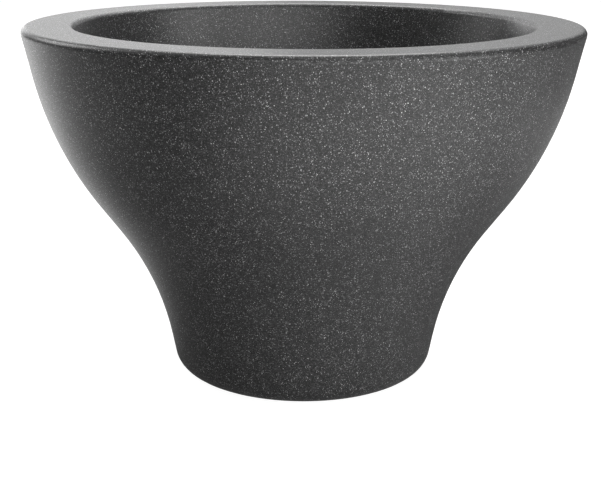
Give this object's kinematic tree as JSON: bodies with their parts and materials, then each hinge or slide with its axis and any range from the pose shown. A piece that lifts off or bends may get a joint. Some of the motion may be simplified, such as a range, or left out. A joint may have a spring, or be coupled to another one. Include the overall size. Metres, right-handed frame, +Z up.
{
  "type": "bowl planter",
  "caption": "Round bowl planter with a flat rim, a hollow double wall and a narrow foot, a floor drain with a pull-out plug, and a lift-out drainage grid.",
  "frame": {"origin": "centre of the footprint, on the floor that the foot pads stand on", "axes": "+Z up along the axis of the bowl, -Y towards the camera of the picture, +X to the right of the picture"},
  "size_m": [0.6, 0.5999, 0.39],
  "materials": {
    "shell_plastic": "satin, flecked like granite",
    "pad_rubber": "matt",
    "vent_plastic": "matt",
    "plug_plastic": "satin",
    "gasket_rubber": "matt",
    "grid_plastic": "fine matt grain",
    "leg_plastic": "satin"
  },
  "bodies": {
    "shell": {"planter_shell": "shell_plastic", "foot_pads": "pad_rubber", "vent_plug": "vent_plastic"},
    "grid": {"drainage_grid": "grid_plastic", "grid_legs": "leg_plastic"},
    "plug": {"drain_plug": "plug_plastic", "drain_gasket": "gasket_rubber"}
  },
  "joints": [
    {"name": "grid_lift", "type": "slide", "parent": "shell", "child": "grid", "axis": [0, 0, 1], "range_m": [0, 0.36]},
    {"name": "plug_pull", "type": "slide", "parent": "shell", "child": "plug", "axis": [0, 0, -1], "range_m": [0, 0.015]}
  ]
}
